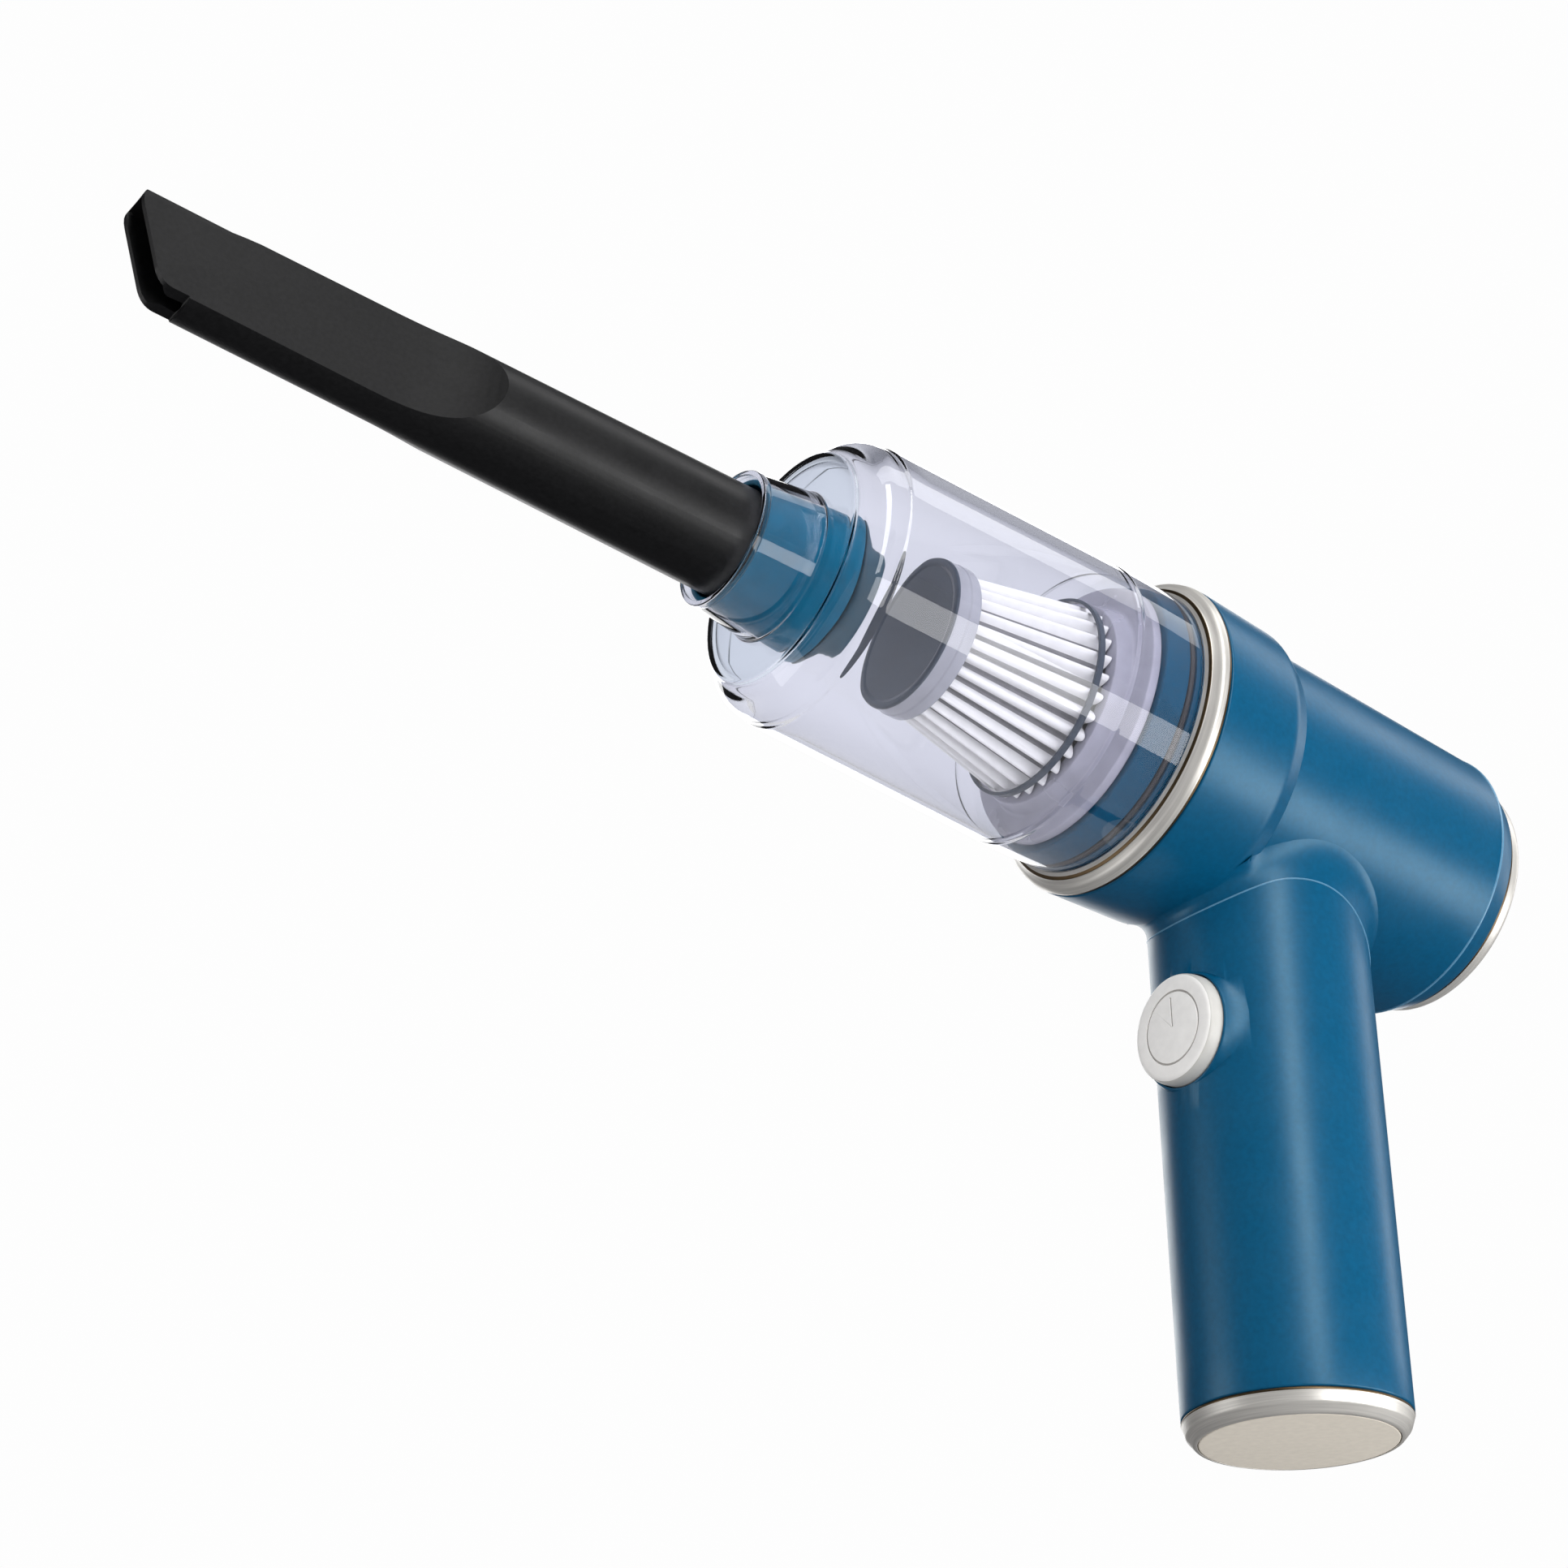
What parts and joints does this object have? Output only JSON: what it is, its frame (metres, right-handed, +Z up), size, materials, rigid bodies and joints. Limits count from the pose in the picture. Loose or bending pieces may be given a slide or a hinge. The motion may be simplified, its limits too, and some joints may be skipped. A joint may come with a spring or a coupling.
{
  "type": "handheld vacuum cleaner",
  "caption": "Cordless pistol-grip hand vacuum: tilted barrel with a clear pull-off dust cup, pleated cone filter, slanted crevice nozzle and a round power button on the grip.",
  "frame": {"origin": "centre of the flat disc under the grip", "axes": "+Z up along the grip, -X towards the nozzle, +Y to the left of a person who looks along -X"},
  "size_m": [0.3246, 0.0708, 0.1858],
  "materials": {
    "blue_shell": "satin soft-touch coat",
    "champagne_trim": "satin champagne",
    "cream_disc": "matt",
    "clear_cup": "clear polished",
    "blue_tube": "gloss",
    "black_nozzle": "satin moulded",
    "black_rubber": "matt",
    "filter_frame": "smoked, slightly clear",
    "filter_paper": "pleated white filter paper",
    "button_plastic": "satin",
    "inner_plastic": "moulded",
    "fan_plastic": "moulded",
    "steel": "plain",
    "bronze": "sintered bush",
    "circuit_board": "solder mask",
    "cell_sleeve": "shrink sleeve on steel can",
    "lead_red": "insulation",
    "lead_black": "insulation"
  },
  "bodies": {
    "main_body": {"base_disc": "cream_disc", "base_ring": "champagne_trim", "handle_shell": "blue_shell", "rear_housing": "blue_shell", "front_housing": "blue_shell", "trim_ring": "champagne_trim", "rear_trim_ring": "champagne_trim", "exhaust_grille": "blue_shell", "cup_spigot": "blue_shell", "cup_seal": "black_rubber", "power_switch": "inner_plastic", "switch_board": "circuit_board", "control_board": "circuit_board", "usb_port": "steel", "battery_cell_1": "cell_sleeve", "battery_cell_2": "cell_sleeve", "battery_tray_lower": "inner_plastic", "battery_tray_upper": "inner_plastic", "motor_can": "steel", "motor_end_cap": "inner_plastic", "front_bushing": "bronze", "rear_bushing": "bronze", "motor_mount": "inner_plastic", "motor_screw_1": "steel", "motor_screw_2": "steel", "fan_shroud": "inner_plastic", "motor_lead_1": "lead_red", "motor_lead_2": "lead_black"},
    "button": {"power_button": "button_plastic", "switch_plunger": "inner_plastic"},
    "cup": {"dust_cup": "clear_cup", "inlet_tube": "blue_tube", "inlet_gasket": "black_rubber"},
    "nozzle": {"crevice_nozzle": "black_nozzle"},
    "filter": {"filter_flange": "filter_frame", "filter_pleats": "filter_paper", "filter_band": "filter_frame", "filter_cap": "filter_frame"},
    "rotor": {"motor_shaft": "steel", "motor_rotor": "steel", "fan_wheel": "fan_plastic"}
  },
  "joints": [
    {"name": "button_press", "type": "slide", "parent": "main_body", "child": "button", "axis": [1, 0, 0], "range_m": [0, 0.0015], "stiffness_N_per_m": 1200, "springref_m": -0.0008},
    {"name": "cup_pull", "type": "slide", "parent": "main_body", "child": "cup", "axis": [-0.9905, 0, 0.1374], "range_m": [0, 0.12]},
    {"name": "nozzle_pull", "type": "slide", "parent": "cup", "child": "nozzle", "axis": [-0.9905, 0, 0.1374], "range_m": [0, 0.05]},
    {"name": "filter_pull", "type": "slide", "parent": "main_body", "child": "filter", "axis": [-0.9905, 0, 0.1374], "range_m": [0, 0.015]},
    {"name": "fan_spin", "type": "hinge", "parent": "main_body", "child": "rotor", "pos_m": [0, 0, 0.1399], "axis": [-0.9905, 0, 0.1374], "continuous": true}
  ]
}
